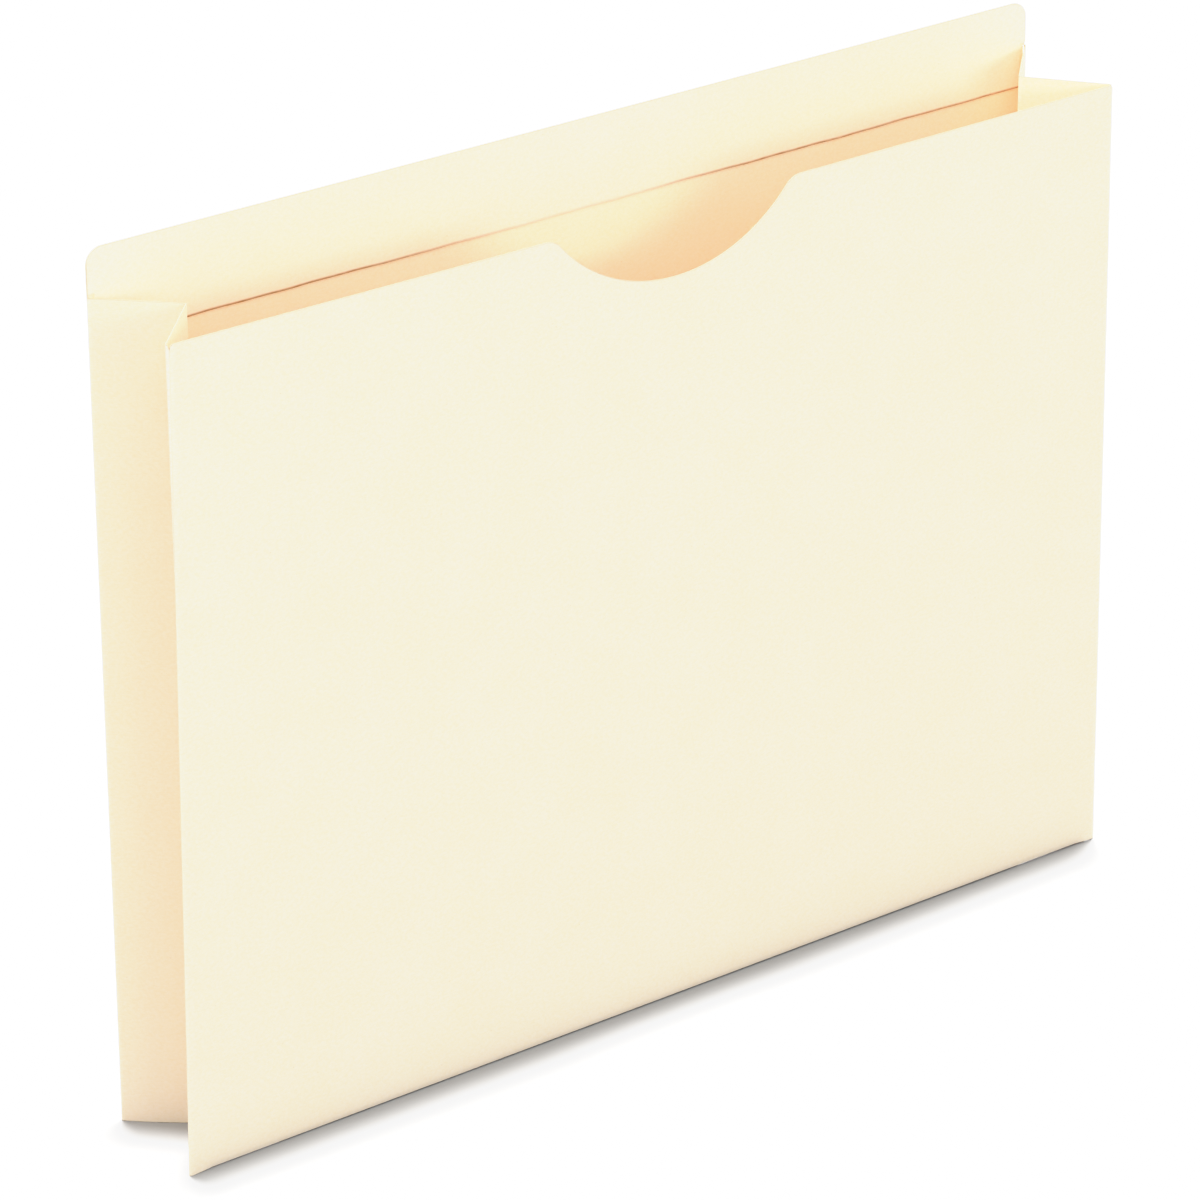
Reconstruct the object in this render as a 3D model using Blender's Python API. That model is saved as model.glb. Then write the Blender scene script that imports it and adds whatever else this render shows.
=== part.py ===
"""Expanding file jacket in plain manila board.

The jacket is a pocket of die-cut board panels: a tall back panel with a reinforced
straight-cut tab, a lower front panel with a thumb notch, and V-folded gussets at both
sides and at the bottom. Every crease is a hinge. All gusset halves are equally wide, so
the front panel stays parallel to the back panel while the pocket opens and closes.

Frame: metres, +X along the width, the front panel faces -Y, +Z up. The origin is below
the middle of the pocket, on the surface it stands on.
"""
import math

import bpy

# ---------------------------------------------------------------- driving dimensions
WIDTH = 0.29845            # both panels, edge to edge
TAB_TOP = 0.24130          # top of the tab, overall height
GUSSET_TOP = 0.22860       # top edge of the side gussets, at the panels
GUSSET_SLOPE = 0.00080     # the top edge is this much lower at the crease
FRONT_TOP = 0.22700        # top edge of the front panel
BOARD = 0.00030            # thickness of the board
FOLD_GAP = 0.00020         # clear space between two sheets folded flat on each other
GLUE = 0.00010             # glue line between two plies
HALF = 0.02400             # width of one gusset half, crease to crease
REST_FOLD = math.radians(45.3)   # angle between a gusset half and the panel it hangs on

EDGE = 0.00050             # panel edge outside the fold line
TAB_RADIUS = 0.00460       # rounded top corners of the tab
SHEET_RADIUS = 0.00120     # rounded corners of the other sheets
CORNER_RUN = 0.00600       # cut corner beside the bottom fold, along the edge
CORNER_DROP = 0.00100      # how much lower the cut corner hangs than the fold

NOTCH_DEPTH = 0.01940      # thumb notch below the front panel's top edge
NOTCH_RADIUS = 0.04700
NOTCH_FILLET = 0.00600     # rounded shoulders of the notch

PLY_HEIGHT = 0.02600       # reinforcing ply, measured down from the tab's top
PLY_INSET = 0.00500        # its lower part stays this far from the side folds
FLAP_WIDTH = 0.02450       # glue flaps inside the front panel
FLAP_MITRE = 0.02400       # slanted ends of the flaps
BOTTOM_INSET = 0.02600     # the bottom gusset ends this far from the panel edges
SHEET_LIFT = 0.00030       # the gussets clear the surface the panels stand on

# ---------------------------------------------------------------- derived positions
PITCH = BOARD + FOLD_GAP
SPAN = 2.0 * (HALF * math.sin(REST_FOLD) + PITCH * math.cos(REST_FOLD))
FOLD_X = WIDTH / 2 - EDGE
FOLD_BACK_Y = (SPAN + BOARD + GLUE) / 2
BOTTOM_FOLD_Z = CORNER_DROP + EDGE
SHEET_Y = -(FOLD_GAP / 2 + BOARD / 2)       # middle of a sheet, from its fold axis
PANEL_Y = SHEET_Y - BOARD - GLUE            # a panel that lies under a glued sheet

MANILA = (0.860, 0.790, 0.610, 1.0)
MANILA_INSIDE = (0.840, 0.740, 0.540, 1.0)


def clear_scene():
    for ob in list(bpy.data.objects):
        bpy.data.objects.remove(ob, do_unlink=True)
    for coll in list(bpy.data.collections):
        bpy.data.collections.remove(coll)


def board_material(name, colour):
    mat = bpy.data.materials.new(name)
    mat.use_nodes = True
    bsdf = next(n for n in mat.node_tree.nodes if n.type == 'BSDF_PRINCIPLED')
    bsdf.inputs['Base Color'].default_value = colour
    bsdf.inputs['Roughness'].default_value = 0.62
    bsdf.inputs['Metallic'].default_value = 0.0
    mat.diffuse_color = colour
    return mat


def arc(cx, cz, radius, start, end, steps):
    """Points on an arc, angles in degrees."""
    pts = []
    for i in range(steps + 1):
        a = math.radians(start + (end - start) * i / steps)
        pts.append((cx + radius * math.cos(a), cz + radius * math.sin(a)))
    return pts


def rounded_rect(x0, z0, x1, z1, radius, steps=4):
    r = radius
    return (arc(x1 - r, z0 + r, r, -90, 0, steps) + arc(x1 - r, z1 - r, r, 0, 90, steps)
            + arc(x0 + r, z1 - r, r, 90, 180, steps) + arc(x0 + r, z0 + r, r, 180, 270, steps))


def panel_foot():
    """Lower edge of a panel, left to right: the folded edge sits a little higher than the
    cut corners, which carry the jacket."""
    w = WIDTH / 2
    return [(-w, 0.0), (-w + 0.0020, 0.0), (-w + CORNER_RUN, CORNER_DROP),
            (w - CORNER_RUN, CORNER_DROP), (w - 0.0020, 0.0), (w, 0.0)]


def back_outline():
    w, r = WIDTH / 2, TAB_RADIUS
    return (panel_foot() + arc(w - r, TAB_TOP - r, r, 0, 90, 8)
            + arc(-w + r, TAB_TOP - r, r, 90, 180, 8))


def front_outline():
    """Front panel with the thumb notch: one wide arc, with rounded shoulders."""
    w, r = WIDTH / 2, SHEET_RADIUS
    rise = NOTCH_RADIUS - NOTCH_DEPTH           # arc centre above the top edge
    reach = NOTCH_RADIUS + NOTCH_FILLET
    shoulder = math.sqrt(reach ** 2 - (rise + NOTCH_FILLET) ** 2)
    lean = math.degrees(math.atan2(rise + NOTCH_FILLET, shoulder))
    right = arc(shoulder, FRONT_TOP - NOTCH_FILLET, NOTCH_FILLET, 90, 180 - lean, 7)
    notch = arc(0.0, FRONT_TOP + rise, NOTCH_RADIUS, -lean, -(180 - lean), 30)
    left = arc(-shoulder, FRONT_TOP - NOTCH_FILLET, NOTCH_FILLET, lean, 90, 7)
    return (panel_foot() + arc(w - r, FRONT_TOP - r, r, 0, 90, 4)
            + right + notch[1:-1] + left + arc(-w + r, FRONT_TOP - r, r, 90, 180, 4))


def ply_outline():
    """Reinforcing ply: as wide as the tab above the gussets, narrower behind them."""
    w, r = WIDTH / 2, TAB_RADIUS
    low, step = TAB_TOP - PLY_HEIGHT, GUSSET_TOP + 0.0008
    inner = FOLD_X - PLY_INSET
    return ([(-inner, low), (inner, low), (inner, step), (w, step)]
            + arc(w - r, TAB_TOP - r, r, 0, 90, 8) + arc(-w + r, TAB_TOP - r, r, 90, 180, 8)
            + [(-w, step), (-inner, step)])


def flap_outline(side):
    """Glue flap with slanted ends; side +1 runs to +X from its fold, -1 to -X."""
    near, far = 0.0003, FLAP_WIDTH
    low, high = 0.0030, FRONT_TOP - 0.0012
    pts = [(near, low), (far, low + FLAP_MITRE), (far, high - FLAP_MITRE), (near, high)]
    return pts if side > 0 else [(-x, z) for x, z in reversed(pts)]


def gusset_outline(inner, outer):
    """Side gusset half between its crease and its fold on a panel. The top edge slopes down
    to the crease, and the corners are rounded."""
    r = 0.0006
    left, right = min(inner, outer), max(inner, outer)
    top = {inner: GUSSET_TOP - GUSSET_SLOPE, outer: GUSSET_TOP}
    return (arc(right - r, SHEET_LIFT + r, r, -90, 0, 3)
            + arc(right - r, top[right] - r, r, 0, 90, 3)
            + arc(left + r, top[left] - r, r, 90, 180, 3)
            + arc(left + r, SHEET_LIFT + r, r, 180, 270, 3))


def bottom_outline(side):
    """Bottom gusset half, upwards (+1) or downwards (-1) from its fold."""
    w = WIDTH / 2 - BOTTOM_INSET
    z0, z1 = (0.0, HALF) if side > 0 else (-HALF, 0.0)
    return rounded_rect(-w, z0, w, z1, SHEET_RADIUS, 3)


def fold(name, parent, location, rotation):
    """An empty on a fold line. The pieces that turn about that line hang on it."""
    empty = bpy.data.objects.new(name, None)
    empty.empty_display_size = 0.01
    jacket.objects.link(empty)
    empty.parent = parent
    empty.location = location
    empty.rotation_euler = rotation
    return empty


def board(name, parent, outline, y, material, shift=0.0):
    """A die-cut sheet: the outline stands in the parent's x-z plane, and the board's
    thickness is centred on y."""
    curve = bpy.data.curves.new(name, 'CURVE')
    curve.dimensions = '2D'
    curve.fill_mode = 'BOTH'
    curve.extrude = BOARD / 2
    spline = curve.splines.new('POLY')
    spline.points.add(len(outline) - 1)
    for point, (x, z) in zip(spline.points, outline):
        point.co = (x + shift, z, 0.0, 1.0)
    spline.use_cyclic_u = True
    curve.materials.append(material)
    ob = bpy.data.objects.new(name, curve)
    jacket.objects.link(ob)
    ob.parent = parent
    ob.location = (0.0, y, 0.0)
    ob.rotation_euler = (math.pi / 2, 0.0, 0.0)
    return ob


# ---------------------------------------------------------------- the jacket
clear_scene()
jacket = bpy.data.collections.new("file_jacket")
bpy.context.scene.collection.children.link(jacket)
outside = board_material("manila_board", MANILA)
inside = board_material("manila_board_inside", MANILA_INSIDE)

root = fold("jacket_root", None, (0.0, 0.0, 0.0), (0.0, 0.0, 0.0))

# back panel and the ply that doubles its tab
back_plane = FOLD_BACK_Y + FOLD_GAP / 2 + BOARD / 2
board("back_panel", root, back_outline(), back_plane, outside)
board("tab_reinforcing_ply", root, ply_outline(), back_plane - BOARD - GLUE, inside)

# left gusset: back fold, crease, front fold; the front panel hangs on the front fold
left_back = fold("left_back_fold", root, (-FOLD_X, FOLD_BACK_Y, 0.0), (0.0, 0.0, -REST_FOLD))
board("left_gusset_back_half", left_back, gusset_outline(HALF, 0.0), SHEET_Y, outside)
left_crease = fold("left_crease", left_back, (HALF, -PITCH, 0.0), (0.0, 0.0, 2 * REST_FOLD))
board("left_gusset_front_half", left_crease, gusset_outline(0.0, -HALF), SHEET_Y, outside)
left_front = fold("left_front_fold", left_crease, (-HALF, -PITCH, 0.0), (0.0, 0.0, -REST_FOLD))
board("front_panel", left_front, front_outline(), PANEL_Y, outside, shift=FOLD_X)
board("left_glue_flap", left_front, flap_outline(1), SHEET_Y, inside)
board("right_glue_flap", left_front, flap_outline(-1), SHEET_Y, inside, shift=2 * FOLD_X)

# right gusset, the mirror image of the left one
right_back = fold("right_back_fold", root, (FOLD_X, FOLD_BACK_Y, 0.0), (0.0, 0.0, REST_FOLD))
board("right_gusset_back_half", right_back, gusset_outline(-HALF, 0.0), SHEET_Y, outside)
right_crease = fold("right_crease", right_back, (-HALF, -PITCH, 0.0), (0.0, 0.0, -2 * REST_FOLD))
board("right_gusset_front_half", right_crease, gusset_outline(0.0, HALF), SHEET_Y, outside)

# bottom gusset, folded up into the pocket between the side gussets
bottom_back = fold("bottom_back_fold", root, (0.0, FOLD_BACK_Y, BOTTOM_FOLD_Z),
                   (REST_FOLD, 0.0, 0.0))
board("bottom_gusset_back_half", bottom_back, bottom_outline(1), SHEET_Y, inside)
bottom_crease = fold("bottom_crease", bottom_back, (0.0, -PITCH, HALF), (-2 * REST_FOLD, 0.0, 0.0))
board("bottom_gusset_front_half", bottom_crease, bottom_outline(-1), SHEET_Y, inside)
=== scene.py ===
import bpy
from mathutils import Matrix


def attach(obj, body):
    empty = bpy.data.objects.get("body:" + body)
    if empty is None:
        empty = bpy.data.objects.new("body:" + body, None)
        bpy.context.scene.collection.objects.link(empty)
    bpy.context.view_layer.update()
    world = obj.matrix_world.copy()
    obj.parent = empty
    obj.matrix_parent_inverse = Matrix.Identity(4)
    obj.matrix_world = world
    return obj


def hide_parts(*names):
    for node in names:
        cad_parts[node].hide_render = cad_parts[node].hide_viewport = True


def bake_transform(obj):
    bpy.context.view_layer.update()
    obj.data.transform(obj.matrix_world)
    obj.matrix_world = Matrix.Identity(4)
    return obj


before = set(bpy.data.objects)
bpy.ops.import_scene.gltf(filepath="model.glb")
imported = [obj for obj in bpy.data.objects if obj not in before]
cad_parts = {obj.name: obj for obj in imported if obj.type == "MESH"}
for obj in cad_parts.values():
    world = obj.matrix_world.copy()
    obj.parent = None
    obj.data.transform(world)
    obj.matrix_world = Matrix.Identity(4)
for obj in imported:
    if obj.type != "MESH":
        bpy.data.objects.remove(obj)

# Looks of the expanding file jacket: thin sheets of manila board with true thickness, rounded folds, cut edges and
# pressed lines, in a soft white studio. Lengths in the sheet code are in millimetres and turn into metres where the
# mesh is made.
"""Looks of the expanding file jacket: thin sheets of manila board with true thickness,
rounded folds that bend with the pocket, cut edges and pressed lines, in a soft white studio.
Lengths in the sheet code are in millimetres and turn into metres where the mesh is made."""
import math

import bmesh
import bpy
import numpy as np
from mathutils import Matrix, Vector

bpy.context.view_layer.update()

# ------------------------------------------------------------------ sizes, as in the frame (mm)
WIDTH = 298.45
TAB_TOP = 241.3
GUSSET_TOP = 228.6
FRONT_TOP = 227.0
BOARD = 0.30
GAP = 0.20
GLUE = 0.10
HALF = 24.0
PHI = math.radians(45.3)
FOLD_X = WIDTH / 2 - 0.5
RAD = GAP / 2 + BOARD / 2            # fold axis to the middle of a sheet
PITCH = BOARD + GAP
SPAN = 2 * (HALF * math.sin(PHI) + PITCH * math.cos(PHI))
BACK_Y = (SPAN + BOARD + GLUE) / 2   # back fold axis
FRONT_Y = BACK_Y - SPAN              # front fold axis
CREASE_X = FOLD_X - (HALF * math.cos(PHI) - PITCH * math.sin(PHI))
CREASE_Y = (BACK_Y + FRONT_Y) / 2
BOTTOM_Z = 1.5
BOTTOM_CREASE_Z = BOTTOM_Z + FOLD_X - CREASE_X
BACK_MID = BACK_Y + RAD
PLY = 0.22
PLY_MID = BACK_MID - BOARD / 2 - PLY / 2 - 0.015
FLAP_MID = FRONT_Y - RAD
FRONT_MID = FLAP_MID - BOARD - GLUE
TAB_RADIUS = 4.6
SHEET_RADIUS = 1.2
NOTCH_DEPTH, NOTCH_RADIUS, NOTCH_FILLET, NOTCH_X = 18.6, 47.4, 6.0, 1.4
PLY_LOW = TAB_TOP - 24.6
FLAP_WIDTH, FLAP_MITRE = 24.5, 24.0
FLAP_LOW, FLAP_HIGH = 3.0, FRONT_TOP - 1.2
BOTTOM_HALF = WIDTH / 2 - 26.0
FOOT = 0.5                           # the folded foot hangs this high between the cut corners
FRONT_FOOT = 0.40                    # and this high on the front panel
SAG = 0.46                           # the bottom gusset hangs this much below its fold line at the back


def smooth(a, b, x):
    t = np.clip((np.asarray(x, float) - a) / (b - a), 0.0, 1.0)
    return t * t * (3 - 2 * t)


# ------------------------------------------------------------------ the paper's own slight set
# The panels are not cut quite true, and the free top edge of the front sheet stands out in the
# middle. The table gives how far each corner is off in the panel's own plane (x, y, z).
CORNERS = {
    "front": {"bl": (-3.1, 0.0, 0.0), "br": (2.8, 0.0, 0.15), "tl": (1.0, 0.0, 0.6), "tr": (-0.1, 0.0, -0.25)},
    "back": {"bl": (0.0, 0.0, 0.0), "br": (0.0, 0.0, 0.0), "tl": (0.24, 0.0, -0.5), "tr": (-0.47, 0.0, -0.6)},
}


def corner_set(side, x, z, height):
    u = np.clip((x + WIDTH / 2) / WIDTH, 0, 1)
    v = np.clip(z / height, 0, 1.05)
    c = {k: np.array(w) for k, w in CORNERS[side].items()}
    low = (1 - u)[..., None] * c["bl"] + u[..., None] * c["br"]
    high = (1 - u)[..., None] * c["tl"] + u[..., None] * c["tr"]
    return (1 - v)[..., None] * low + v[..., None] * high


def settle(p):
    """Moves points of an ideal panel to where the real one stands."""
    x, y, z = p[..., 0], p[..., 1], p[..., 2]
    f = corner_set("front", x, z, FRONT_TOP)
    b = corner_set("back", x, z, TAB_TOP)
    w = np.clip((y - FRONT_MID) / (BACK_MID - FRONT_MID), 0, 1)[..., None]
    d = (1 - w) * f + w * b
    return p + d


HANG = (-1.92, -1.41, 0.0)             # the left fold of the back panel stands off this much at the floor


def hang(p):
    """The strip beside the left fold of the back panel leans out towards the floor."""
    lean = np.clip(1 - p[..., 2] / GUSSET_TOP, 0, 1) * np.clip(1 - (p[..., 0] + FOLD_X) / HALF, 0, 1)
    return settle(p) + lean[..., None] * np.array(HANG)


def hang_gusset(p):
    """The same lean for the gusset half on that fold; it ends at the crease."""
    t = np.clip((BACK_Y - p[..., 1]) / (HALF * math.sin(PHI)), 0, 1)
    lean = np.clip(1 - p[..., 2] / GUSSET_TOP, 0, 1) * (1 - t ** 1.5)
    return lift(p) + lean[..., None] * np.array(HANG)


def lift(p):
    """The gussets keep to their fold lines and only follow the panels in height."""
    return p + (settle(p) - p) * np.array([0.0, 0.0, 1.0])


def front_bow(x, z):
    """The front sheet stands out between its glued sides, most at the top."""
    across = np.cos(np.pi * np.clip(x / WIDTH, -0.5, 0.5)) ** 1.15
    return -1.15 * across * np.clip(z / FRONT_TOP, 0, 1) ** 1.8


def back_bow(x, z):
    across = np.cos(np.pi * np.clip(x / WIDTH, -0.5, 0.5))
    return -0.35 * across * np.clip(z / TAB_TOP, 0, 1) ** 1.5


# ------------------------------------------------------------------ mesh code
STEPS = np.array([0.0, 0.10, 0.30, 0.70, 1.50, 3.0, 5.5])


def spread(lo, hi, pitch, fine_lo=True, fine_hi=True, extra=()):
    """Columns between two edges, close together near a cut edge."""
    length = hi - lo
    k = min(1.0, length / 13.0)
    pts = [lo, hi]
    if fine_lo:
        pts += list(lo + STEPS * k)
    if fine_hi:
        pts += list(hi - STEPS * k)
    n = max(1, int(round(length / pitch)))
    pts += [lo + length * i / n for i in range(1, n)]
    for a, b, step in extra:
        m = max(1, int(round((b - a) / step)))
        pts += [a + (b - a) * i / m for i in range(m + 1)]
    pts = sorted(p for p in pts if lo - 1e-9 <= p <= hi + 1e-9)
    out = [pts[0]]
    for p in pts[1:]:
        if p - out[-1] > 0.045:
            out.append(p)
    out[-1] = hi
    return np.array(out)


def rows(zlo, zhi, n):
    """Rows of each column, close together at both ends."""
    zlo, zhi = np.asarray(zlo, float), np.asarray(zhi, float)
    k = np.minimum(1.0, (zhi - zlo) / 13.0)[:, None]
    low = zlo[:, None] + STEPS[None, :] * k
    high = zhi[:, None] - STEPS[::-1][None, :] * k
    t = np.linspace(0, 1, n + 2)[1:-1][None, :]
    mid = low[:, -1:] * (1 - t) + high[:, :1] * t
    return np.concatenate([low, mid, high], axis=1)


class Board:
    """One sheet of board as a closed mesh: two faces a board's thickness apart and the cut
    edges between them. Several patches can share one mesh."""

    def __init__(self, name):
        self.name, self.co, self.pos, self.edge, self.fold, self.line = name, [], [], [], [], []
        self.faces, self.hard = [], []
        self.count = 0

    def patch(self, mid, nrm, uv, edge, fold=0.0, line=0.0, thick=BOARD, move=None):
        """mid, nrm: (columns, rows, 3) middle of the sheet and its outside normal; uv: the
        place on the flat sheet; edge, fold and the ply mask: how near a cut edge or a fold is, and
        how strong the painted shade line along a ply's lower edge is."""
        nc, nr = mid.shape[:2]
        moved = move(mid) if move else mid
        full = lambda a: np.broadcast_to(np.asarray(a, float), (nc, nr)).ravel()
        base = self.count
        for sign in (1, -1):
            self.co.append((moved + nrm * (sign * thick / 2)).reshape(-1, 3))
            pos = np.stack([uv[..., 0], np.full((nc, nr), sign * 40.0), uv[..., 1]], -1)
            self.pos.append(pos.reshape(-1, 3))
            self.edge.append(full(edge))
            self.fold.append(full(fold))
            self.line.append(full(line))
        a = base + np.arange(nc * nr).reshape(nc, nr)
        b = a + nc * nr
        flip = np.cross(mid[1, 0] - mid[0, 0], mid[0, 1] - mid[0, 0]) @ nrm[0, 0] < 0
        qa = np.stack([a[:-1, :-1], a[1:, :-1], a[1:, 1:], a[:-1, 1:]], -1).reshape(-1, 4)
        qb = np.stack([b[:-1, :-1], b[:-1, 1:], b[1:, 1:], b[1:, :-1]], -1).reshape(-1, 4)
        ring_a = np.concatenate([a[:, 0], a[-1, 1:], a[-2::-1, -1], a[0, -2:0:-1]])
        ring_b = ring_a + nc * nr
        na, nb = np.roll(ring_a, -1), np.roll(ring_b, -1)
        wall = np.stack([ring_a, ring_b, nb, na], -1)
        quads = np.concatenate([qa, qb, wall])
        if flip:
            quads = quads[:, ::-1]
        self.faces.append(quads)
        self.hard += [np.stack([ring_a, na], -1), np.stack([ring_b, nb], -1)]
        for c in ((0, 0), (-1, 0), (-1, -1), (0, -1)):
            self.hard.append(np.array([[a[c], b[c]]]))
        self.count += 2 * nc * nr

    def make(self, material):
        me = bpy.data.meshes.new(self.name)
        co = np.concatenate(self.co) * 0.001
        me.from_pydata(co.tolist(), [], np.concatenate(self.faces).tolist())
        me.update()
        put = me.attributes.new("pos", 'FLOAT_VECTOR', 'POINT')
        put.data.foreach_set("vector", np.concatenate(self.pos).astype(np.float32).ravel())
        for key in ("edge", "fold", "line"):
            put = me.attributes.new(key, 'FLOAT', 'POINT')
            put.data.foreach_set("value", np.concatenate(getattr(self, key)).astype(np.float32))
        me.polygons.foreach_set("use_smooth", np.ones(len(me.polygons), bool))
        hard = {tuple(sorted(e)) for e in np.concatenate(self.hard).tolist()}
        ends = np.zeros(len(me.edges) * 2, np.int32)
        me.edges.foreach_get("vertices", ends)
        sharp = [tuple(sorted(e)) in hard for e in ends.reshape(-1, 2).tolist()]
        me.edges.foreach_set("use_edge_sharp", sharp)
        me.materials.append(material)
        ob = bpy.data.objects.new(self.name, me)
        bpy.context.scene.collection.objects.link(ob)
        return ob


def near(*distances):
    """1 on a cut edge, 0 from about two millimetres away."""
    d = distances[0]
    for e in distances[1:]:
        d = np.minimum(d, e)
    return 1 - smooth(0.0, 1.8, d)


def upright(x, y, z):
    """Points of a flat sheet that stands across the jacket, facing -Y."""
    mid = np.stack([np.broadcast_to(x[:, None], z.shape), np.broadcast_to(y, z.shape), z], -1)
    return mid


def surface_normals(mid, towards):
    """Normals of a grid of points, on the side that `towards` points to."""
    dc = np.gradient(mid, axis=0)
    dr = np.gradient(mid, axis=1)
    n = np.cross(dc, dr)
    n /= np.linalg.norm(n, axis=-1, keepdims=True)
    s = np.sign(np.sum(n * np.asarray(towards, float), -1, keepdims=True))
    return n * np.where(s == 0, 1, s)


# ------------------------------------------------------------------ outlines
def foot(x, height=FOOT):
    """Lower edge of a panel: the folded edge sits higher than the cut corners."""
    d = WIDTH / 2 - np.abs(x)
    return np.interp(d, [0.0, 0.6, 6.4], [0.0, 0.0, height])


def round_top(x, half, top, r):
    d = np.clip(half - np.abs(x), 0, None)
    drop = np.where(d < r, r - np.sqrt(np.maximum(0.0, r * r - (r - np.minimum(d, r)) ** 2)), 0.0)
    return top - drop


RISE = NOTCH_RADIUS - NOTCH_DEPTH
SHOULDER = math.sqrt((NOTCH_RADIUS + NOTCH_FILLET) ** 2 - (RISE + NOTCH_FILLET) ** 2)
SHOULDER_IN = SHOULDER * NOTCH_RADIUS / (NOTCH_RADIUS + NOTCH_FILLET)


def notch_top(x):
    """Top edge of the front sheet: a wide arc with rounded shoulders."""
    a = np.abs(x - NOTCH_X)
    arc = FRONT_TOP + RISE - np.sqrt(np.maximum(0.0, NOTCH_RADIUS ** 2 - np.minimum(a, NOTCH_RADIUS) ** 2))
    fillet = FRONT_TOP - NOTCH_FILLET + np.sqrt(
        np.maximum(0.0, NOTCH_FILLET ** 2 - (np.minimum(a, SHOULDER) - SHOULDER) ** 2))
    z = np.where(a <= SHOULDER_IN, arc, np.where(a < SHOULDER, fillet, FRONT_TOP))
    return np.minimum(z, round_top(x, WIDTH / 2, FRONT_TOP, SHEET_RADIUS))


def flap_reach(z):
    """How far from its fold a glue flap reaches at this height."""
    z = np.asarray(z, float)
    return FLAP_WIDTH * np.clip(np.minimum((z - FLAP_LOW), (FLAP_HIGH - z)) / FLAP_MITRE, 0, 1)


# ------------------------------------------------------------------ materials
def node(nt, kind, x, y, **values):
    n = nt.nodes.new(kind)
    n.location = (x, y)
    for k, v in values.items():
        if k in n.inputs.keys():
            n.inputs[k].default_value = v
        else:
            setattr(n, k, v)
    return n


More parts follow.
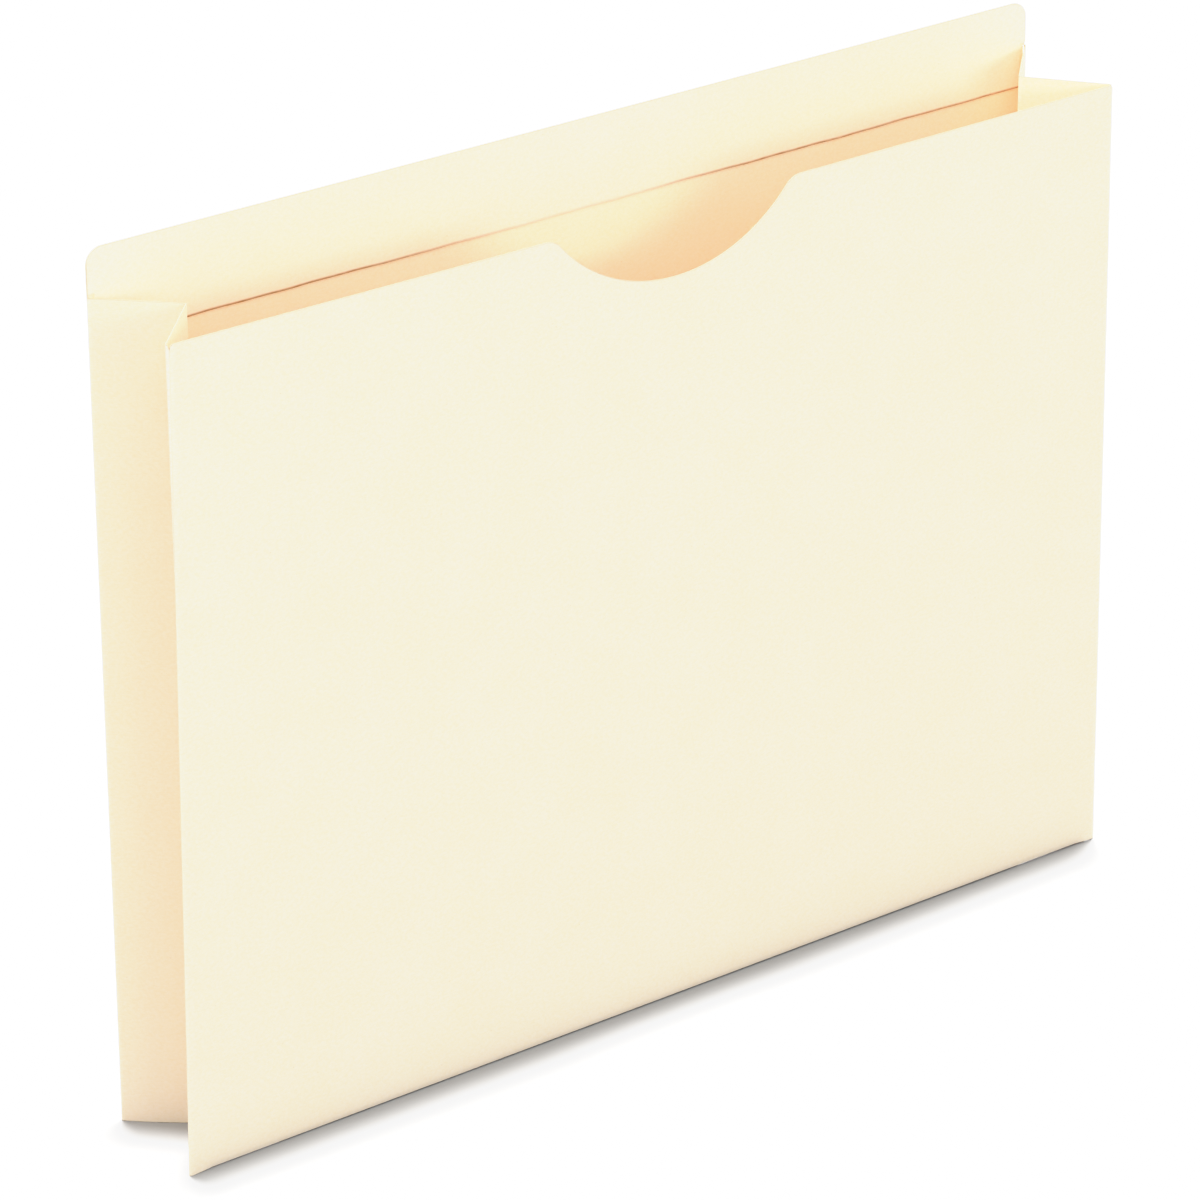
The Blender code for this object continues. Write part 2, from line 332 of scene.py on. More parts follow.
def manila(name, light, dark, rough=(0.66, 0.80), shift=(0.0, 0.0, 0.0)):
    """Uncoated manila board: long pale fibres in a felted mass, a soft cloudy formation, fine
    tooth and sparse bark specks, with painted light: cut edges painted darker as shade, folds
    painted paler as a highlight, and a painted shade line along the lower edge of a ply."""
    mat = bpy.data.materials.new(name)
    mat.use_nodes = True
    nt = mat.node_tree
    nt.nodes.clear()
    link = nt.links.new
    out = node(nt, 'ShaderNodeOutputMaterial', 1400, 0)
    bsdf = node(nt, 'ShaderNodeBsdfPrincipled', 1100, 0)
    bsdf.inputs['Specular IOR Level'].default_value = 0.22
    bsdf.inputs['IOR'].default_value = 1.45
    link(bsdf.outputs['BSDF'], out.inputs['Surface'])

    pos = node(nt, 'ShaderNodeAttribute', -1500, 0, attribute_name="pos")
    edge = node(nt, 'ShaderNodeAttribute', -1500, -500, attribute_name="edge")
    fold = node(nt, 'ShaderNodeAttribute', -1500, -700, attribute_name="fold")
    line = node(nt, 'ShaderNodeAttribute', -1500, -900, attribute_name="line")

    def stretched(sx, sy, sz, turn, y):
        m = node(nt, 'ShaderNodeMapping', -1250, y)
        m.inputs['Location'].default_value = shift
        m.inputs['Rotation'].default_value = (0.0, math.radians(turn), 0.0)
        m.inputs['Scale'].default_value = (sx, sy, sz)
        link(pos.outputs['Vector'], m.inputs['Vector'])
        return m.outputs['Vector']

    def noise(vec, scale, detail, rough_, y):
        n = node(nt, 'ShaderNodeTexNoise', -1000, y)
        n.inputs['Scale'].default_value = scale
        n.inputs['Detail'].default_value = detail
        n.inputs['Roughness'].default_value = rough_
        link(vec, n.inputs['Vector'])
        return n.outputs['Fac']

    def math_(op, a, b, x, y, clamp=False):
        n = node(nt, 'ShaderNodeMath', x, y, operation=op, use_clamp=clamp)
        for i, v in enumerate((a, b)):
            if isinstance(v, (int, float)):
                n.inputs[i].default_value = v
            else:
                link(v, n.inputs[i])
        return n.outputs[0]

    def ranged(value, a, b, c, d, x, y):
        n = node(nt, 'ShaderNodeMapRange', x, y)
        link(value, n.inputs['Value'])
        for key, v in zip(('From Min', 'From Max', 'To Min', 'To Max'), (a, b, c, d)):
            n.inputs[key].default_value = v
        return n.outputs['Result']

    fibre_a = noise(stretched(0.42, 1.0, 3.4, 7.0, 500), 1.0, 3.0, 0.62, 500)
    fibre_b = noise(stretched(0.50, 1.0, 3.0, -24.0, 250), 1.0, 3.0, 0.62, 250)
    cloud = noise(stretched(1.0, 1.0, 1.0, 0.0, 0), 0.085, 2.0, 0.50, 0)
    tooth = noise(stretched(1.0, 1.0, 1.0, 15.0, -250), 2.3, 2.0, 0.55, -250)

    fibres = math_('ADD', math_('MULTIPLY', fibre_a, 0.58, -800, 450),
                   math_('MULTIPLY', fibre_b, 0.42, -800, 250), -620, 350)
    mottle = noise(stretched(1.0, 1.0, 1.25, 40.0, -1700), 0.95, 2.0, 0.55, -1700)
    soft = math_('ADD', math_('MULTIPLY', cloud, 0.09, -620, 50),
                 math_('MULTIPLY', mottle, 0.38, -620, -50), -520, 50)
    felt = math_('ADD', math_('MULTIPLY', fibres, 0.34, -450, 350),
                 math_('ADD', soft, math_('MULTIPLY', tooth, 0.19, -620, -150), -450, 0), -280, 250)
    tone = ranged(felt, 0.42, 0.58, 0.0, 1.0, -120, 250)

    base = node(nt, 'ShaderNodeMix', 60, 250, data_type='RGBA')
    base.inputs['A'].default_value = (*dark, 1.0)
    base.inputs['B'].default_value = (*light, 1.0)
    link(tone, base.inputs['Factor'])

    # sparse bark specks
    cells = node(nt, 'ShaderNodeTexVoronoi', -1000, -1150)
    cells.inputs['Scale'].default_value = 0.30
    link(stretched(1.0, 1.0, 1.35, 33.0, -1150), cells.inputs['Vector'])
    dot = ranged(cells.outputs['Distance'], 0.035, 0.075, 1.0, 0.0, -800, -1100)
    tint = node(nt, 'ShaderNodeSeparateColor', -800, -1300)
    link(cells.outputs['Color'], tint.inputs['Color'])
    some = ranged(tint.outputs['Red'], 0.80, 0.84, 0.0, 1.0, -620, -1300)
    speck = math_('MULTIPLY', math_('MULTIPLY', dot, some, -450, -1150), 0.30, -280, -1150)
    specked = node(nt, 'ShaderNodeMix', 240, 250, data_type='RGBA')
    specked.inputs['B'].default_value = (0.62, 0.47, 0.27, 1.0)
    link(speck, specked.inputs['Factor'])
    link(base.outputs['Result'], specked.inputs['A'])

    # painted highlight on the folds: they are painted paler where their rounding catches the light, broken up by the
    # fibre noise
    fold_painted_highlight = math_('MULTIPLY', fold.outputs['Fac'],
                   ranged(fibre_a, 0.42, 0.62, 0.10, 0.55, -800, -650), -450, -650)
    fold_highlighted = node(nt, 'ShaderNodeMix', 330, 200, data_type='RGBA')
    fold_highlighted.inputs['B'].default_value = (0.992, 0.925, 0.790, 1.0)
    link(fold_painted_highlight, fold_highlighted.inputs['Factor'])
    link(specked.outputs['Result'], fold_highlighted.inputs['A'])
    # painted shade on the cut edges: they are painted darker, and uneven with the tooth noise, to hold down the light
    # that falls on the upturned top edges
    edge_painted_shade = math_('MULTIPLY', ranged(edge.outputs['Fac'], 0.965, 1.0, 0.0, 1.0, -1250, -500),
                ranged(tooth, 0.35, 0.65, 0.75, 1.0, -800, -400), -280, -450)
    edge_shaded = node(nt, 'ShaderNodeMix', 420, 200, data_type='RGBA')
    edge_shaded.inputs['B'].default_value = (0.72, 0.63, 0.47, 1.0)
    link(edge_painted_shade, edge_shaded.inputs['Factor'])
    link(fold_highlighted.outputs['Result'], edge_shaded.inputs['A'])

    # painted shade along the lower edge of a ply: a dark brown line stands in for the contact shadow under the ply's
    # edge, made uneven by a stretched noise
    ply_line_shade = math_('MULTIPLY', line.outputs['Fac'],
                 ranged(noise(stretched(0.30, 1.0, 1.0, 0.0, -1500), 1.0, 2.0, 0.5, -1500),
                        0.30, 0.66, 0.72, 1.0, -800, -1500), -280, -900, clamp=True)
    ply_line_shaded = node(nt, 'ShaderNodeMix', 600, 150, data_type='RGBA')
    ply_line_shaded.inputs['B'].default_value = (0.37, 0.19, 0.055, 1.0)
    link(ply_line_shade, ply_line_shaded.inputs['Factor'])
    link(edge_shaded.outputs['Result'], ply_line_shaded.inputs['A'])
    link(ply_line_shaded.outputs['Result'], bsdf.inputs['Base Color'])

    link(ranged(tooth, 0.30, 0.70, rough[0], rough[1], 240, -250), bsdf.inputs['Roughness'])

    height = math_('ADD', math_('MULTIPLY', fibres, 0.60, -280, 50),
                   math_('ADD', math_('MULTIPLY', tooth, 0.30, -450, -250),
                         math_('MULTIPLY', cloud, 0.55, -450, -350), -280, -250), -120, -50)
    bump = node(nt, 'ShaderNodeBump', 780, -300)
    bump.inputs['Strength'].default_value = 0.35
    bump.inputs['Distance'].default_value = 0.00006
    link(height, bump.inputs['Height'])
    link(bump.outputs['Normal'], bsdf.inputs['Normal'])
    return mat


# lit and shaded copies of one board: besides the shifted grain they differ only as painted light, the inside copy
# painted paler in blue for more light on the tab and the other pieces it covers, the gusset copy painted warmer and
# darker as shade in the recess of the side gussets
OUTSIDE = manila("manila_board_outside", (0.994, 0.870, 0.706), (0.970, 0.826, 0.612))
INSIDE_PAINTED_PALER = manila("manila_board_inside", (0.994, 0.872, 0.744), (0.970, 0.829, 0.654),
                shift=(311.0, 0.0, 127.0))
GUSSET_PAINTED_SHADE = manila("manila_board_gusset_painted_shade", (0.994, 0.851, 0.688), (0.970, 0.808, 0.596),
                shift=(-211.0, 0.0, 57.0))


def finish_piece(ob, slot, *nodes):
    if nodes:
        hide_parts(*nodes)
    return ob


# ------------------------------------------------------------------ back panel
def back_panel():
    b = Board("back_sheet")
    for lo, hi, kind in ((-FOLD_X, FOLD_X, "main"), (-WIDTH / 2, -FOLD_X, "ear"), (FOLD_X, WIDTH / 2, "ear")):
        if kind == "main":
            corner = [TAB_RADIUS * (1 - math.cos(math.radians(a))) for a in range(0, 91, 9)]
            extra = [(-BOTTOM_HALF - 0.6, -BOTTOM_HALF + 0.2, 0.2), (BOTTOM_HALF - 0.2, BOTTOM_HALF + 0.6, 0.2)]
            x = spread(lo, hi, 5.0, extra=extra)
            x = np.unique(np.round(np.concatenate(
                [x] + [[s * (WIDTH / 2 - c)] for s in (-1, 1) for c in corner if c > 0.55]), 4))
            keep = np.concatenate([[True], np.diff(x) > 0.04])
            x = x[keep]
            x[-1] = hi
            zlo = np.where(np.abs(x) < BOTTOM_HALF, BOTTOM_Z - SAG, foot(x))
        else:
            d = np.array([0.0, 0.012, 0.045, 0.10, 0.18, 0.28, 0.39, 0.5])
            x = lo + d if lo < 0 else hi - d[::-1]
            zlo = np.full_like(x, GUSSET_TOP + 0.1)
        zhi = round_top(x, WIDTH / 2, TAB_TOP, TAB_RADIUS)
        z = rows(zlo, zhi, 26 if kind == "main" else 4)
        y = BACK_MID + back_bow(x[:, None], z)
        mid = upright(x, y, z)
        nrm = surface_normals(mid, (0, 1, 0))
        xx = np.broadcast_to(x[:, None], z.shape)
        side = np.where(z > GUSSET_TOP, WIDTH / 2 - np.abs(xx), 9.0)
        edge = near(zhi[:, None] - z, side, np.where(np.abs(xx) > BOTTOM_HALF, z - zlo[:, None], 9.0))
        fold = np.where(z < GUSSET_TOP, 0.6 * (1 - smooth(0.0, 1.2, FOLD_X - np.abs(xx))), 0.0)
        b.patch(mid, nrm, np.stack([xx, z], -1), edge, fold, move=hang)
    return b.make(OUTSIDE)


back_sheet = finish_piece(back_panel(), "manila_outside", "back_panel")
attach(back_sheet, "back")


# ------------------------------------------------------------------ tab reinforcing ply
def ply():
    b = Board("tab_ply")
    inner = FOLD_X - 1.4
    for lo, hi, low in ((-inner, inner, PLY_LOW), (-WIDTH / 2, -inner, GUSSET_TOP + 0.8), (inner, WIDTH / 2, GUSSET_TOP + 0.8)):
        x = spread(lo, hi, 3.0, fine_lo=lo < -inner - 1 or lo > -inner - 1e-6, fine_hi=True)
        if abs(lo) > inner + 1 or abs(hi) > inner + 1:
            corner = [TAB_RADIUS * (1 - math.cos(math.radians(a))) for a in range(0, 91, 9)]
            sgn = -1 if lo < 0 else 1
            x = np.unique(np.round(np.concatenate([x, [sgn * (WIDTH / 2 - c) for c in corner if c < WIDTH / 2 - inner]]), 4))
            x = x[np.concatenate([[True], np.diff(x) > 0.01])]
        # the knife wandered a little along the lower edge
        wander = 0.10 * np.sin(x * 0.055 + 0.6) + 0.07 * np.sin(x * 0.171 + 2.1) + 0.05 * np.sin(x * 0.43)
        main = abs(lo) <= inner + 1e-6 and abs(hi) <= inner + 1e-6
        zlo = np.full_like(x, low) + (wander if main else 0.0)
        zhi = round_top(x, WIDTH / 2, TAB_TOP, TAB_RADIUS)
        z = rows(zlo, zhi, 8)
        y = PLY_MID + back_bow(x[:, None], z)
        if main:                                     # the pressed lower edge beds into the board
            y = y + 0.03 * (1 - smooth(0.0, 0.7, z - zlo[:, None]))
        mid = upright(x, y, z)
        nrm = surface_normals(mid, (0, -1, 0))
        xx = np.broadcast_to(x[:, None], z.shape)
        dist = z - zlo[:, None]
        edge = near(zhi[:, None] - z, WIDTH / 2 - np.abs(xx))
        # painted shade line along the ply's lower edge: fainter near the middle, where the light through the notch
        # falls, and a little fainter towards the right
        line = 0.0
        if main:
            away = np.abs(xx - 2.0) / np.where(xx < 2.0, 52.0, 38.0)
            weight = (1.0 - 0.85 * np.exp(-away ** 3)) * (1.0 - 0.14 * smooth(30.0, 100.0, xx))
            line = weight * (1 - smooth(0.24, 0.60, dist))
        b.patch(mid, nrm, np.stack([xx, z], -1), edge, 0.0, line, thick=PLY, move=hang)
    return b.make(INSIDE_PAINTED_PALER)


tab_ply = finish_piece(ply(), "manila_inside", "tab_reinforcing_ply")
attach(tab_ply, "back")


# ------------------------------------------------------------------ front panel
def front_panel():
    b = Board("front_sheet")
    ridge = FOLD_X - FLAP_WIDTH
    extra = [(NOTCH_X - SHOULDER - 3, NOTCH_X + SHOULDER + 3, 0.75), (NOTCH_X - SHOULDER - 0.5, NOTCH_X - SHOULDER_IN + 0.5, 0.3),
             (NOTCH_X + SHOULDER_IN - 0.5, NOTCH_X + SHOULDER + 0.5, 0.3), (ridge - 1.4, ridge + 1.4, 0.28), (-ridge - 1.4, -ridge + 1.4, 0.28),
             (-WIDTH / 2, -WIDTH / 2 + 7.0, 0.5), (WIDTH / 2 - 7.0, WIDTH / 2, 0.5)]
    x = spread(-WIDTH / 2, WIDTH / 2, 4.5, extra=extra)
    zlo, zhi = foot(x, FRONT_FOOT), notch_top(x)
    z = rows(zlo, zhi, 34)
    xx = np.broadcast_to(x[:, None], z.shape)
    d_side = WIDTH / 2 - np.abs(xx)
    y = FRONT_MID + front_bow(xx, z)
    # pressed over the glue flaps: a faint step along their free edges
    over = smooth(-0.55, 0.55, np.abs(xx) - (FOLD_X - flap_reach(z)))
    y = y - 0.085 * over * smooth(24, 34, z) * (1 - smooth(194, 204, z))
    # the long sides are rounded over the fold behind them, and the foot over the bottom fold
    y = y + 0.27 * (1 - smooth(0.0, 1.15, d_side)) ** 1.6
    y = y + 0.22 * (1 - smooth(0.0, 1.1, z - zlo[:, None])) * smooth(3.0, 8.0, d_side)
    mid = upright(x, y, z)
    nrm = surface_normals(mid, (0, -1, 0))
    slope = np.hypot(1.0, np.gradient(zhi, x))
    edge = near((zhi[:, None] - z) / slope[:, None], np.where(d_side < 6.0, z - zlo[:, None], 9.0))
    fold = 0.75 * (1 - smooth(0.0, 1.3, d_side))
    fold = np.maximum(fold, 0.5 * (1 - smooth(0.0, 1.2, z - zlo[:, None])))
    b.patch(mid, nrm, np.stack([xx + 40.0, z], -1), edge, fold, move=settle)
    return b.make(OUTSIDE)


front_sheet = finish_piece(front_panel(), "manila_outside", "front_panel")
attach(front_sheet, "front")


# ------------------------------------------------------------------ folded sheets
def turn(path, side):
    """Mirrors a plan path for the right-hand side."""
    p = np.array(path, float)
    p[:, 0] *= -side
    return p


def arc_points(c, r, start, end, n):
    a = np.radians(np.linspace(start, end, n))
    return np.stack([c[0] + r * np.cos(a), c[1] + r * np.sin(a)], -1)


def straight(p, q, first, last, pitch):
    """Points from p to q: fine steps at the ends that ask for them."""
    p, q = np.array(p, float), np.array(q, float)
    s = spread(0.0, float(np.hypot(*(q - p))), pitch, fine_lo=first, fine_hi=last)
    return p + (q - p) * (s / s[-1])[:, None]


def folded(name, path, zlo, zhi, n, edge_fn, fold_fn, material, bulge=None, move=settle, outside=None):
    """A sheet that follows a plan path (x, y), standing between zlo and zhi."""
    path = np.asarray(path, float)
    s = np.concatenate([[0], np.cumsum(np.hypot(*np.diff(path, axis=0).T))])
    z = rows(zlo(s), zhi(s), n)
    mid = np.stack([np.broadcast_to(path[:, :1], z.shape), np.broadcast_to(path[:, 1:], z.shape), z], -1)
    t = np.gradient(path, s, axis=0)
    t /= np.linalg.norm(t, axis=1, keepdims=True)
    nrm2 = np.stack([t[:, 1], -t[:, 0], np.zeros(len(t))], -1)
    if outside is not None and nrm2[len(t) // 2] @ np.asarray(outside, float) < 0:
        nrm2 = -nrm2
    nrm = np.broadcast_to(nrm2[:, None, :], mid.shape).copy()
    ss = np.broadcast_to(s[:, None], z.shape)
    if bulge is not None:
        mid = mid + nrm * bulge(ss, z)[..., None]
    b = Board(name)
    b.patch(mid, nrm, np.stack([ss, z], -1), edge_fn(ss, z, zlo(s)[:, None], zhi(s)[:, None]),
            fold_fn(ss, z), move=move)
    return b.make(material)


COS, SIN = math.cos(PHI), math.sin(PHI)
DEG = math.degrees(PHI)


def side_gusset(side):
    """The V-folded gusset of one side (-1 left, +1 right) as three sheets that share folds:
    back half with the back fold, front half with the crease, glue flap with the front fold."""
    tag = "left" if side < 0 else "right"
    mirror = lambda pts: np.stack([np.asarray(pts)[:, 0] * (-side), np.asarray(pts)[:, 1]], -1)
    back_axis, crease, front_axis = (-FOLD_X, BACK_Y), (-CREASE_X, CREASE_Y), (-FOLD_X, FRONT_Y)
    low = lambda s: np.full_like(s, 0.06)

    # back half: round the back fold, then straight to the crease
    bend = arc_points(back_axis, RAD, 90.0, 180.0 + DEG, 12)
    run = straight(bend[-1], bend[-1] + HALF * np.array([COS, -SIN]), True, True, 2.4)
    path = np.concatenate([bend[:-1], run])
    s0 = RAD * math.radians(90 + DEG)
    top = lambda s: GUSSET_TOP - 0.4 * np.clip((s - s0) / HALF, 0, 1)
    back = folded(tag + "_gusset_back_sheet", mirror(path), low, top, 26,
                  lambda s, z, a, b: near(b - z, z - a),
                  lambda s, z: np.maximum(1 - smooth(s0, s0 + 0.9, s), 0.5 * smooth(HALF - 0.7, HALF, s - s0)),
                  GUSSET_PAINTED_SHADE, bulge=lambda s, z: 0.20 * np.sin(np.pi * np.clip((s - s0) / HALF, 0, 1)) * np.cos(z * 0.017 + 0.4),
                  move=hang_gusset if side < 0 else lift, outside=(side * 1.0, -1.0, 0.0))
    finish_piece(back, "manila_gusset", tag + "_gusset_back_half")
    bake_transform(back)

    # front half: round the crease, then straight to the front fold
    bend = arc_points(crease, RAD, 90.0 - DEG, -(90.0 - DEG), 10)
    run = straight(bend[-1], bend[-1] + HALF * np.array([-COS, -SIN]), True, True, 2.4)
    path = np.concatenate([bend[:-1], run])
    s1 = RAD * math.radians(180 - 2 * DEG)
    top = lambda s: GUSSET_TOP - 0.4 - 1.15 * np.clip((s - s1) / HALF, 0, 1)
    front = folded(tag + "_gusset_front_sheet", mirror(path), low, top, 26,
                   lambda s, z, a, b: near(b - z, z - a),
                   lambda s, z: np.maximum(1 - smooth(s1, s1 + 0.8, s), 0.0),
                   GUSSET_PAINTED_SHADE, bulge=lambda s, z: 0.15 * np.sin(np.pi * np.clip((s - s1) / HALF, 0, 1)) * np.cos(z * 0.015 + 1.1),
                   move=lift, outside=(side * 1.0, 1.0, 0.0))
    finish_piece(front, "manila_gusset", tag + "_gusset_front_half")
    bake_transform(front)

    # glue flap: round the front fold, then flat on the inside of the front sheet
    bend = arc_points(front_axis, RAD, 90.0 + DEG, 270.0, 12)
    run = straight(bend[-1], bend[-1] + np.array([FLAP_WIDTH, 0.0]), True, True, 2.0)
    path = np.concatenate([bend[:-1], run])
    s2 = RAD * math.radians(180 - DEG)
    ends = lambda s: np.clip((s - s2 - 0.25) / FLAP_WIDTH, 0, 1)
    lo2 = lambda s: 0.06 + (FLAP_LOW - 0.06) * smooth(s2 - 0.1, s2 + 0.25, s) + FLAP_MITRE * ends(s)
    hi2 = lambda s: GUSSET_TOP - 1.6 - (GUSSET_TOP - 1.6 - FLAP_HIGH) * smooth(s2 - 0.1, s2 + 0.25, s) - FLAP_MITRE * ends(s)
    wall = lambda p: lift(np.concatenate([p[..., :1], p[..., 1:2] + (front_bow(p[..., 0], p[..., 2]) * smooth(0.2, 2.0, FOLD_X - np.abs(p[..., 0])))[..., None], p[..., 2:]], -1))
    flap = folded(tag + "_flap_sheet", mirror(path), lo2, hi2, 24,
                  lambda s, z, a, b: near(b - z, z - a, s2 + FLAP_WIDTH - s),
                  lambda s, z: 1 - smooth(s2, s2 + 0.8, s),
                  INSIDE_PAINTED_PALER, move=wall, outside=(0.0, -1.0, 0.0))
    finish_piece(flap, "manila_inside", tag + "_glue_flap")
    if side < 0:
        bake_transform(flap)
    else:
        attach(flap, "front")
    return back, front, flap


left_pieces = side_gusset(-1)
right_pieces = side_gusset(1)


# ------------------------------------------------------------------ bottom gusset
def bottom_sheet(name, path, material, bulge, half=BOTTOM_HALF, extra=(), shape=None, reach=None, move=None):
    """A sheet that runs along the bottom and follows a path (y, z) across it. reach gives its
    half width along the path, where the ends are mitred."""
    path = np.asarray(path, float)
    s = np.concatenate([[0], np.cumsum(np.hypot(*np.diff(path, axis=0).T))])
    x = spread(-half, half, 5.0, extra=extra)
    wide = reach(s) if reach else np.full_like(s, half)
    end = half - 12.0
    out = np.maximum(np.abs(x) - end, 0.0)[:, None] * ((wide - end) / (half - end))[None, :]
    mid = np.zeros((len(x), len(s), 3))
    mid[..., 0] = np.clip(x, -end, end)[:, None] + np.sign(x)[:, None] * out
    mid[..., 1] = path[None, :, 0]
    mid[..., 2] = path[None, :, 1]
    t = np.gradient(path, s, axis=0)
    t /= np.linalg.norm(t, axis=1, keepdims=True)
    nrm = np.zeros_like(mid)
    nrm[..., 1] = -t[None, :, 1]
    nrm[..., 2] = t[None, :, 0]
    ss = np.broadcast_to(s[None, :], mid.shape[:2])
    mid = mid + nrm * bulge(mid[..., 0], ss)[..., None]
    if shape:
        mid = shape(mid)
    b = Board(name)
    edge = near(wide[None, :] - np.abs(mid[..., 0]))
    fold = 1 - smooth(0.5, 1.4, ss)
    b.patch(mid, nrm, np.stack([mid[..., 0], ss + 300.0], -1), edge, fold, move=move)
    return b.make(material)


def bottom_gusset():
    # back half: round the lower fold of the back panel, then up into the pocket
    bend = arc_points((BACK_Y, BOTTOM_Z), RAD, 0.0, -(180.0 - DEG), 12)
    run = straight(bend[-1], bend[-1] + HALF * np.array([-SIN, COS]), True, True, 3.0)
    wave = lambda x, s: 0.25 * np.sin(np.pi * np.clip((s - 0.6) / HALF, 0, 1)) * np.cos(x * 0.02)

    def sag(mid):
        t = np.clip((BACK_Y - mid[..., 1]) / (HALF * SIN), 0, 1)
        fall = SAG * (1 - t ** 1.5)
        mid[..., 1] -= fall * smooth(-RAD, RAD, BACK_Y - mid[..., 1])
        mid[..., 2] -= fall
        return mid

    back = bottom_sheet("bottom_gusset_back_sheet", np.concatenate([bend[:-1], run]), INSIDE_PAINTED_PALER, wave, shape=sag)
    finish_piece(back, "manila_gusset", "bottom_gusset_back_half")
    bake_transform(back)
    # front half: over the crease, then down to the front panel
    bend = arc_points((CREASE_Y, BOTTOM_CREASE_Z), RAD, DEG, 180.0 - DEG, 10)
    run = straight(bend[-1], bend[-1] + (HALF - 0.15) * np.array([-SIN, -COS]), True, True, 3.0)
    mitre = lambda s: np.clip(143.2 - 1.02 * (s[-1] - s), BOTTOM_HALF, 143.2)      # runs in under the side gussets
    front = bottom_sheet("bottom_gusset_front_sheet", np.concatenate([bend[:-1], run]), INSIDE_PAINTED_PALER, wave, reach=mitre)
    finish_piece(front, "manila_gusset", "bottom_gusset_front_half")
    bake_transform(front)
    # the turned-in foot of the front panel, which the bottom gusset hangs on
    z = np.array([5.5, 4.5, 3.5, 2.6, 2.0, 1.6, 1.3, 1.02, 0.78])
    lead = np.stack([FRONT_MID + 0.33 + 0.22 * (1 - smooth(0.0, 1.1, z - FOOT)), z], -1)
    bend = arc_points((lead[-1, 0] + 0.34, lead[-1, 1]), 0.34, 180.0, 275.0, 9)[1:]

    def tuck(mid):                                   # the lip is cut back beside the side gussets
        over = np.maximum(mid[..., 1] - lead[-1, 0], 0.0)
        mid[..., 1] -= over * 0.97 * smooth(121.4, 123.0, np.abs(mid[..., 0]))
        return mid

    foot_fold = bottom_sheet("front_foot_fold", np.concatenate([lead, bend]), INSIDE_PAINTED_PALER, lambda x, s: 0.0 * s,
                             half=WIDTH / 2 - 6.2, extra=((-125.0, -120.0, 0.4), (120.0, 125.0, 0.4)), shape=tuck, move=settle)
    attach(foot_fold, "front")
    return back, front, foot_fold


bottom_pieces = bottom_gusset()


# ------------------------------------------------------------------ studio
def floor():
    me = bpy.data.meshes.new("studio_floor")
    bm = bmesh.new()
    bmesh.ops.create_grid(bm, x_segments=8, y_segments=8, size=4.0)
    bm.to_mesh(me)
    bm.free()
    mat = bpy.data.materials.new("studio_floor")
    mat.use_nodes = True
    nt = mat.node_tree
    bsdf = next(n for n in nt.nodes if n.type == 'BSDF_PRINCIPLED')
    tex = nt.nodes.new('ShaderNodeTexNoise')
    tex.inputs['Scale'].default_value = 3.0
    ramp = nt.nodes.new('ShaderNodeValToRGB')
    ramp.color_ramp.elements[0].color = (0.328, 0.328, 0.328, 1.0)
    ramp.color_ramp.elements[1].color = (0.334, 0.334, 0.334, 1.0)
    nt.links.new(tex.outputs['Fac'], ramp.inputs['Fac'])
    # black flags round the set: the floor throws back less light than it shows
    path = nt.nodes.new('ShaderNodeLightPath')
    mix = nt.nodes.new('ShaderNodeMix')
    mix.data_type = 'RGBA'
    mix.inputs['B'].default_value = (0.118, 0.118, 0.118, 1.0)
    nt.links.new(path.outputs['Is Diffuse Ray'], mix.inputs['Factor'])
    nt.links.new(ramp.outputs['Color'], mix.inputs['A'])
    nt.links.new(mix.outputs['Result'], bsdf.inputs['Base Color'])
    bsdf.inputs['Roughness'].default_value = 0.95
    bsdf.inputs['Specular IOR Level'].default_value = 0.0
    me.materials.append(mat)
    ob = bpy.data.objects.new("studio_floor", me)
    ob.location = (0.0, 0.0, -0.00002)
    bpy.context.scene.collection.objects.link(ob)
    return ob


floor_ob = floor()
scene = bpy.context.scene
world = bpy.data.worlds.new("studio")
scene.world = world
world.use_nodes = True
bg = next(n for n in world.node_tree.nodes if n.type == 'BACKGROUND')
bg.inputs['Color'].default_value = (1.0, 1.0, 1.0, 1.0)
bg.inputs['Strength'].default_value = 0.95


def lamp(name, kind, location, target, **values):
    data = bpy.data.lights.new(name, kind)
    for k, v in values.items():
        setattr(data, k, v)
    ob = bpy.data.objects.new(name, data)
    ob.location = location
    ob.rotation_euler = (Vector(target) - Vector(location)).to_track_quat('-Z', 'Y').to_euler()
    ob.visible_camera = False
    scene.collection.objects.link(ob)
    return ob


# a hard lamp high above draws the shadow on the floor, and reaches nothing else
shadow = lamp("overhead", 'SUN', (0.031, 0.0335, 1.0), (0.0, 0.0, 0.0), energy=11.0, angle=math.radians(3.7))
only_floor = bpy.data.collections.new("floor_only")
only_floor.objects.link(floor_ob)
shadow.light_linking.receiver_collection = only_floor
# a broad bank in front, a little above the opening, a wide one overhead towards the left, fills
# from both sides into the opening (the left one is flagged off the left gusset), and a low warm
# fill beside the left gusset
lamp("front_bank", 'AREA', (0.05, -2.4, 0.75), (0.0, 0.0, 0.15), energy=10.8, shape='RECTANGLE', size=1.6, size_y=0.5)
lamp("top_bank", 'AREA', (-0.45, -0.25, 1.9), (0.0, 0.0, 0.20), energy=29.0, shape='RECTANGLE', size=2.2, size_y=2.2)
lamp("right_fill", 'AREA', (1.5, 0.02, 0.40), (-0.14, -0.01, 0.22), energy=5.2, shape='RECTANGLE', size=0.5, size_y=0.2)
end_fill = lamp("end_fill", 'AREA', (-1.5, -0.03, 0.42), (0.14, -0.005, 0.22), energy=3.8, shape='RECTANGLE', size=0.5, size_y=0.2)
right_end = bpy.data.collections.new("right_end")
for piece in (back_sheet, tab_ply) + right_pieces:
    right_end.objects.link(piece)
end_fill.light_linking.receiver_collection = right_end
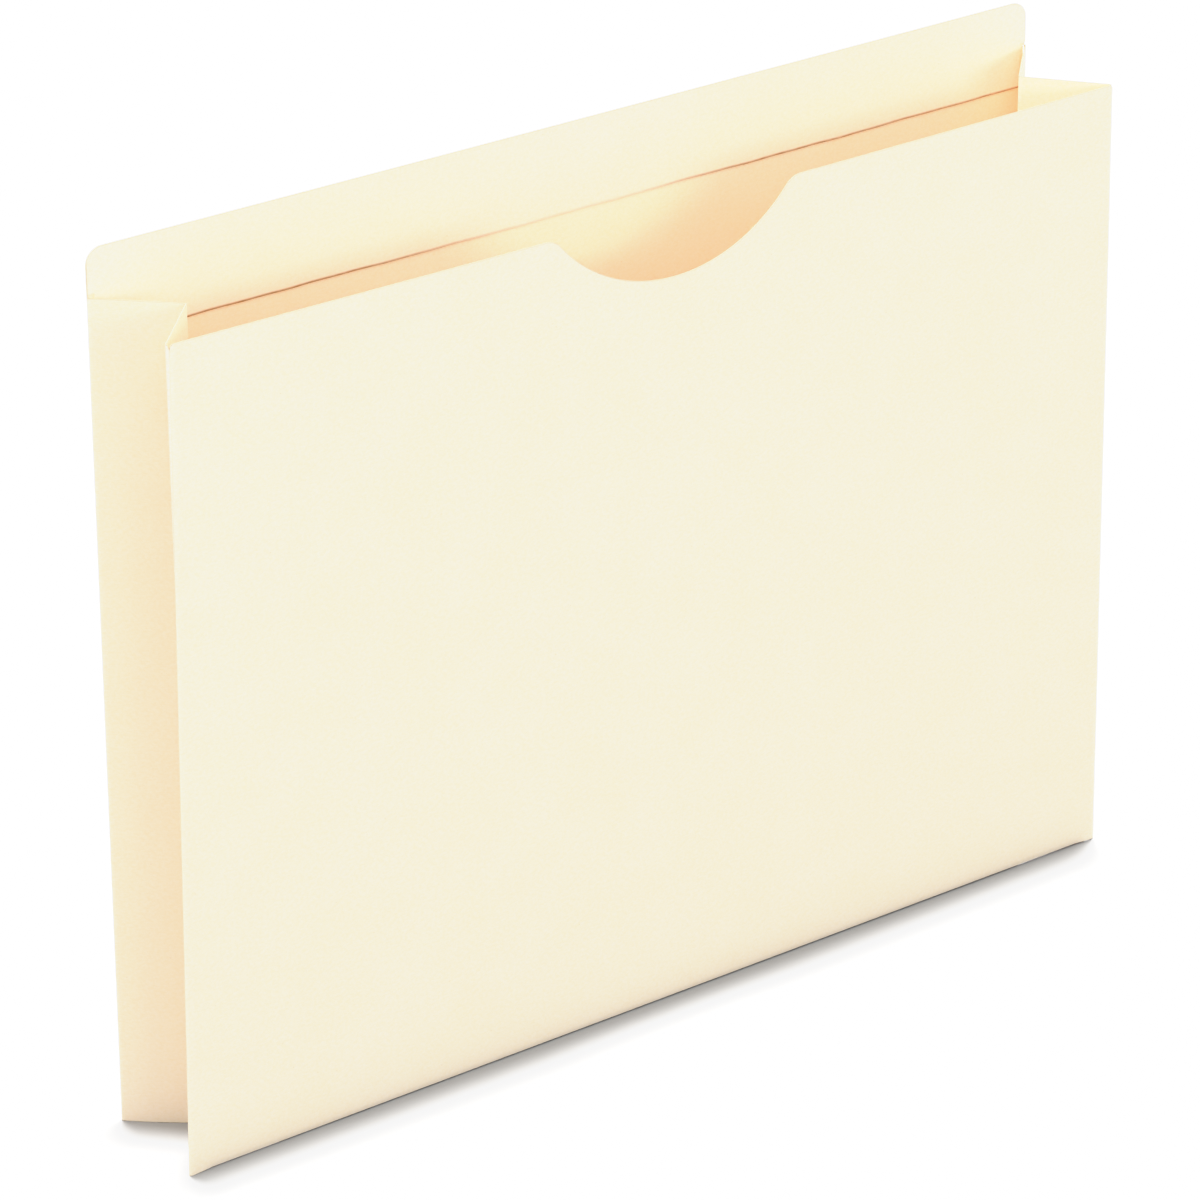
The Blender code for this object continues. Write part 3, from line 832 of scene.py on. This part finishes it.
lamp("left_fill", 'AREA', (-1.5, 0.02, 0.06), (-0.14, 0.0, 0.06), energy=2.1, shape='RECTANGLE', size=0.9, size_y=0.35,
     color=(1.0, 0.70, 0.40))

scene.view_settings.view_transform = 'Standard'
scene.view_settings.look = 'None'
scene.view_settings.exposure = 0.0
scene.view_settings.gamma = 1.0
# a soft shoulder, so that the pale board keeps its tone up to white
scene.view_settings.use_curve_mapping = True
curve = scene.view_settings.curve_mapping
curve.white_level = (1.5, 1.5, 1.5)
curve.extend = 'HORIZONTAL'
points = curve.curves[3].points
shoulder = ((0.0, 0.0), (0.20, 0.20), (0.40, 0.40), (0.60, 0.60), (0.75, 0.75), (0.85, 0.842),
            (1.00, 0.912), (1.15, 0.926), (1.30, 0.945), (1.50, 1.0))
while len(points) < len(shoulder):
    points.new(0.5, 0.5)
for point, (a, b) in zip(points, shoulder):
    point.location = (a / 1.5, b)
curve.update()
scene.cycles.max_bounces = 20
scene.cycles.diffuse_bounces = 14
scene.cycles.glossy_bounces = 4

# ------------------------------------------------------------------ camera
LENS_PX, YAW, ELEV, ROLL = 5615.1, math.radians(-36.649), math.radians(25.273), math.radians(-0.311)
OFF_X, OFF_Y, DIST = 6.610, 8.280, 1469.3
right = np.array([math.cos(YAW), math.sin(YAW), 0.0])
back_dir = np.array([math.sin(YAW) * math.cos(ELEV), -math.cos(YAW) * math.cos(ELEV), math.sin(ELEV)])
up = np.cross(back_dir, right)
r2 = math.cos(ROLL) * right + math.sin(ROLL) * up
u2 = -math.sin(ROLL) * right + math.cos(ROLL) * up
place = np.array([0.0, 0.0, 120.65]) - OFF_X * r2 - OFF_Y * u2 + DIST * back_dir
cam_data = bpy.data.cameras.new("camera")
cam_data.sensor_width = 36.0
cam_data.lens = LENS_PX / 1200.0 * 36.0
cam_data.clip_start, cam_data.clip_end = 0.05, 50.0
cam = bpy.data.objects.new("camera", cam_data)
scene.collection.objects.link(cam)
cam.matrix_world = Matrix([[r2[0], u2[0], back_dir[0], place[0] / 1000],
                           [r2[1], u2[1], back_dir[1], place[1] / 1000],
                           [r2[2], u2[2], back_dir[2], place[2] / 1000],
                           [0, 0, 0, 1]])
scene.camera = cam
